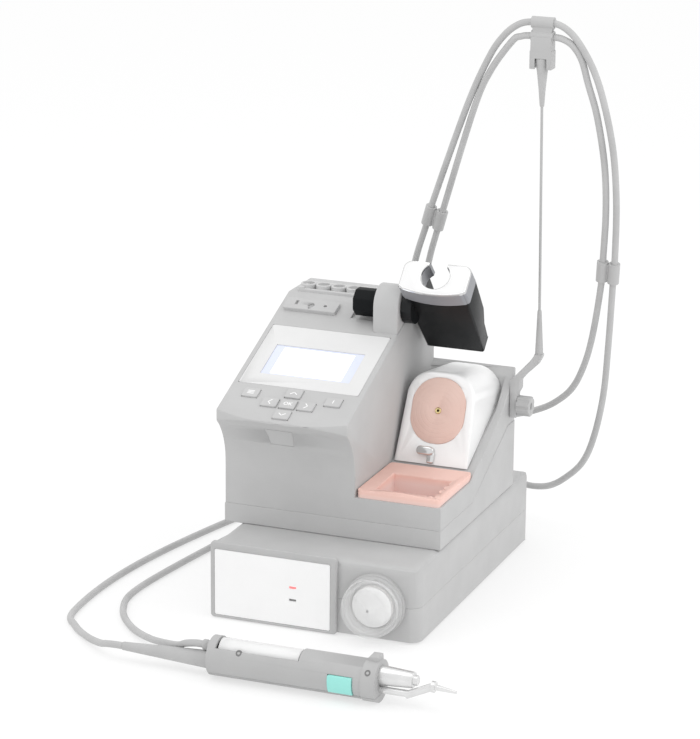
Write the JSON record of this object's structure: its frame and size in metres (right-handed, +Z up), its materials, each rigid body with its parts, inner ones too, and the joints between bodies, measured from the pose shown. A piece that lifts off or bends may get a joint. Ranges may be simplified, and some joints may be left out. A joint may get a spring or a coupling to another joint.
{
  "type": "soldering iron station",
  "caption": "Desk soldering and desoldering station: keypad unit with tip tray, splash guard and tool fork on a suction pump module, a cable stand, two cords and a handpiece with trigger.",
  "frame": {"origin": "centre of the footprint of the station and its handpiece (cords left out), at table height", "axes": "+Z up, -Y towards the user (front panel and handpiece), +X to the right of the unit"},
  "size_m": [0.2957, 0.3631, 0.3719],
  "materials": {
    "housing": "fine moulded texture",
    "trim": "satin",
    "grip_black": "satin black",
    "panel_white": "satin",
    "light_red": "clear red",
    "clear": "clear",
    "silver_plate": "satin",
    "felt": "matt",
    "rubber_grey": "matt",
    "display_grey": "satin",
    "display_glass": "clear",
    "key_grey": "satin",
    "board_green": "solder resist",
    "iron_core": "laminated",
    "steel": "bright",
    "fork_metal": "machined",
    "tray_orange": "soft silicone",
    "membrane": "soft silicone",
    "brass": "bright",
    "teal": "satin"
  },
  "bodies": {
    "station": {"pump_base": "housing", "pump_cover": "housing", "panel_frame": "trim", "front_panel": "panel_white", "status_lights": "light_red", "filter_seat": "trim", "vacuum_pump": "iron_core", "base_feet": "rubber_grey", "hose_barb": "trim", "base_shell": "housing", "upper_shell": "housing", "display_frame": "display_grey", "display_window": "display_glass", "front_board": "board_green", "port_cover": "housing", "extractor_plate": "housing", "cartridge_rack": "housing", "holder_bracket": "housing", "transformer": "iron_core", "main_board": "board_green", "rear_panel": "silver_plate", "mains_inlet": "trim", "cable_gland": "trim", "case_screws": "steel", "stand_arm": "housing", "stand_rod": "steel", "rod_boots": "rubber_grey", "top_clip": "trim", "cord_clips": "trim", "tool_cable": "rubber_grey", "suction_hose": "rubber_grey"},
    "filter": {"filter_bowl": "clear", "filter_cone": "silver_plate", "filter_element": "felt", "bowl_seal": "rubber_grey"},
    "pump_rotor": {"pump_shaft": "steel"},
    "bracket_knob": {"bracket_knob": "grip_black"},
    "holder": {"holder_body": "grip_black", "holder_fork": "fork_metal"},
    "tray": {"tip_tray": "tray_orange"},
    "guard": {"splash_guard": "silver_plate", "wiper_membrane": "membrane", "wiper_eyelet": "brass", "hook_lever": "steel"},
    "rocker": {"power_rocker": "trim"},
    "stand_knob": {"stand_knob": "trim"},
    "handpiece": {"handpiece_shell": "housing", "handpiece_base": "housing", "tool_barrel": "steel", "desoldering_tip": "steel", "handpiece_boot": "rubber_grey"},
    "collector": {"solder_collector": "clear"},
    "trigger": {"trigger": "teal"},
    "key_menu": {"key_menu": "key_grey"},
    "key_up": {"key_up": "key_grey"},
    "key_left": {"key_left": "key_grey"},
    "key_enter": {"key_enter": "key_grey"},
    "key_right": {"key_right": "key_grey"},
    "key_down": {"key_down": "key_grey"},
    "key_info": {"key_info": "key_grey"}
  },
  "joints": [
    {"name": "filter_pull", "type": "slide", "parent": "station", "child": "filter", "axis": [0, -1, 0], "range_m": [0, 0.025]},
    {"name": "rotor_spin", "type": "hinge", "parent": "station", "child": "pump_rotor", "pos_m": [-0.0476, 0.0362, 0.023], "axis": [0, 1, 0], "continuous": true},
    {"name": "bracket_knob_turn", "type": "hinge", "parent": "station", "child": "bracket_knob", "pos_m": [-0.035, 0.0652, 0.183], "axis": [1, 0, 0], "continuous": true},
    {"name": "holder_tilt", "type": "hinge", "parent": "station", "child": "holder", "pos_m": [-0.005, 0.0652, 0.183], "axis": [1, 0, 0], "range_deg": [-13, 12]},
    {"name": "tray_lift", "type": "slide", "parent": "station", "child": "tray", "axis": [0, 0, 1], "range_m": [0, 0.03]},
    {"name": "guard_pull", "type": "slide", "parent": "station", "child": "guard", "axis": [0, -1, 0], "range_m": [0, 0.012]},
    {"name": "power_rock", "type": "hinge", "parent": "station", "child": "rocker", "pos_m": [-0.022, 0.1188, 0.0713], "axis": [1, 0, 0], "range_deg": [-8, 8]},
    {"name": "stand_knob_turn", "type": "hinge", "parent": "station", "child": "stand_knob", "pos_m": [0.06, 0.1118, 0.1096], "axis": [1, 0, 0], "continuous": true},
    {"name": "handpiece_lift", "type": "slide", "parent": "station", "child": "handpiece", "axis": [0, -0.866, 0.5], "range_m": [0, 0.04]},
    {"name": "collector_lift", "type": "slide", "parent": "handpiece", "child": "collector", "axis": [0, 0, 1], "range_m": [0, 0.015]},
    {"name": "trigger_press", "type": "slide", "parent": "handpiece", "child": "trigger", "axis": [0, 1, 0], "range_m": [0, 0.0015], "stiffness_N_per_m": 800},
    {"name": "key_menu_press", "type": "slide", "parent": "station", "child": "key_menu", "axis": [0, 0.3746, -0.9272], "range_m": [0, 0.0008], "stiffness_N_per_m": 500},
    {"name": "key_up_press", "type": "slide", "parent": "station", "child": "key_up", "axis": [0, 0.3746, -0.9272], "range_m": [0, 0.0008], "stiffness_N_per_m": 500},
    {"name": "key_left_press", "type": "slide", "parent": "station", "child": "key_left", "axis": [0, 0.3746, -0.9272], "range_m": [0, 0.0008], "stiffness_N_per_m": 500},
    {"name": "key_enter_press", "type": "slide", "parent": "station", "child": "key_enter", "axis": [0, 0.3746, -0.9272], "range_m": [0, 0.0008], "stiffness_N_per_m": 500},
    {"name": "key_right_press", "type": "slide", "parent": "station", "child": "key_right", "axis": [0, 0.3746, -0.9272], "range_m": [0, 0.0008], "stiffness_N_per_m": 500},
    {"name": "key_down_press", "type": "slide", "parent": "station", "child": "key_down", "axis": [0, 0.3746, -0.9272], "range_m": [0, 0.0008], "stiffness_N_per_m": 500},
    {"name": "key_info_press", "type": "slide", "parent": "station", "child": "key_info", "axis": [0, 0.3746, -0.9272], "range_m": [0, 0.0008], "stiffness_N_per_m": 500}
  ]
}
